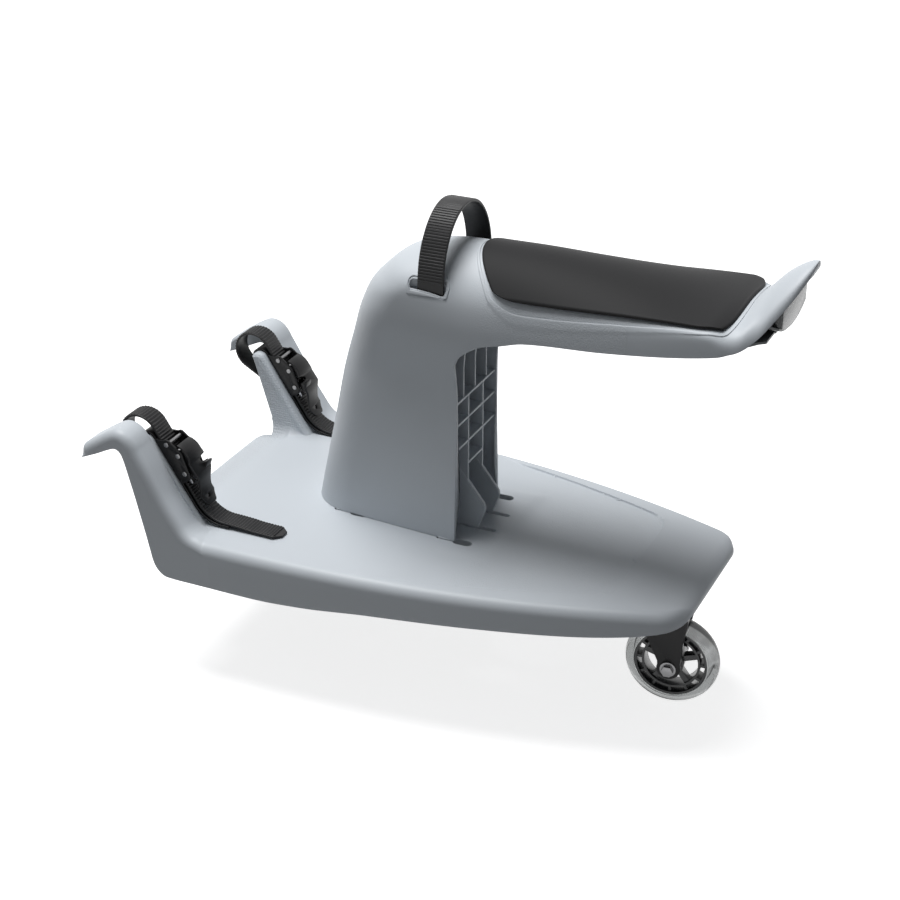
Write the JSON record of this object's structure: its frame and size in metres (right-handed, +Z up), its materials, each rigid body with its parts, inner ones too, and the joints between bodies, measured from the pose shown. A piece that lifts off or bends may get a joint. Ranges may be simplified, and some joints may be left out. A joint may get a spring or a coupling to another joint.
{
  "type": "buggy board",
  "caption": "Ride-on board that hooks onto a stroller by two horns and ratchet straps, with a saddle seat on a post and a swivelling rear wheel.",
  "frame": {"origin": "on the floor under the middle of the board's overall length and width, at the wheel's lowest point", "axes": "+X towards the tail, +Z up, Y across; the left side is the one at -Y"},
  "size_m": [0.7185, 0.34, 0.5169],
  "materials": {
    "grey": "finely grained moulded plastic",
    "pad": "smooth black foam sheet",
    "strap": "toothed flexible strap",
    "black": "moulded black plastic",
    "housing": "dark grey moulded plastic",
    "lens": "ribbed clear reflector",
    "tyre": "clear cast polyurethane",
    "hub": "dark smoky plastic",
    "steel": "zinc-plated steel"
  },
  "bodies": {
    "board": {"deck": "grey", "caster_socket": "black", "ladder_strap_left": "strap", "ladder_strap_right": "strap", "buckle_strap_left": "black", "buckle_strap_right": "black", "buckle_base_left": "black", "buckle_base_right": "black", "buckle_pins_left": "steel", "buckle_pins_right": "steel", "pawl_spring_left": "steel", "pawl_spring_right": "steel", "strap_screws_left": "steel", "strap_screws_right": "steel", "strap_anchor_left": "steel", "strap_anchor_right": "steel"},
    "seat": {"seat_shell": "grey", "seat_pad": "pad", "seat_handle": "strap", "handle_screws": "steel", "reflector_housing": "housing", "reflector_lens": "lens", "reflector_screws": "steel"},
    "caster": {"caster_fork": "black", "caster_stem": "steel", "caster_clip": "steel", "axle_bolt": "steel", "axle_nut": "steel", "axle_washers": "steel", "bearing_spacer": "steel"},
    "wheel": {"wheel_tyre": "tyre", "wheel_hub": "hub", "wheel_bearings": "steel"},
    "lever_left": {"buckle_lever_left": "black", "drive_pin_left": "steel"},
    "drive_left": {"drive_pawl_left": "steel"},
    "lock_left": {"lock_pawl_left": "steel"},
    "lever_right": {"buckle_lever_right": "black", "drive_pin_right": "steel"},
    "drive_right": {"drive_pawl_right": "steel"},
    "lock_right": {"lock_pawl_right": "steel"}
  },
  "joints": [
    {"name": "seat_slide", "type": "slide", "parent": "board", "child": "seat", "axis": [1, 0, 0], "range_m": [0, 0.018]},
    {"name": "caster_swivel", "type": "hinge", "parent": "board", "child": "caster", "pos_m": [0.2135, 0, 0.14], "axis": [0, 0, 1], "continuous": true},
    {"name": "wheel_spin", "type": "hinge", "parent": "caster", "child": "wheel", "pos_m": [0.2433, 0.00345, 0.05], "axis": [0.1149, -0.9934, 0], "continuous": true},
    {"name": "lever_open_left", "type": "hinge", "parent": "board", "child": "lever_left", "pos_m": [-0.26234, -0.118, 0.24007], "axis": [0, -1, 0], "range_deg": [0, 60]},
    {"name": "drive_follow_left", "type": "hinge", "parent": "lever_left", "child": "drive_left", "pos_m": [-0.26808, -0.118, 0.23923], "axis": [0, -1, 0], "range_deg": [-60, 0]},
    {"name": "lock_release_left", "type": "hinge", "parent": "board", "child": "lock_left", "pos_m": [-0.25543, -0.118, 0.22077], "axis": [0, 1, 0], "range_deg": [0, 14], "stiffness_Nm_per_rad": 0.05, "springref_deg": -11.46},
    {"name": "lever_open_right", "type": "hinge", "parent": "board", "child": "lever_right", "pos_m": [-0.26234, 0.118, 0.24007], "axis": [0, -1, 0], "range_deg": [0, 60]},
    {"name": "drive_follow_right", "type": "hinge", "parent": "lever_right", "child": "drive_right", "pos_m": [-0.26808, 0.118, 0.23923], "axis": [0, -1, 0], "range_deg": [-60, 0]},
    {"name": "lock_release_right", "type": "hinge", "parent": "board", "child": "lock_right", "pos_m": [-0.25543, 0.118, 0.22077], "axis": [0, 1, 0], "range_deg": [0, 14], "stiffness_Nm_per_rad": 0.05, "springref_deg": -11.46}
  ],
  "couplings": [
    {"joint": "drive_follow_left", "follows": "lever_open_left", "ratio": -1},
    {"joint": "drive_follow_right", "follows": "lever_open_right", "ratio": -1}
  ]
}
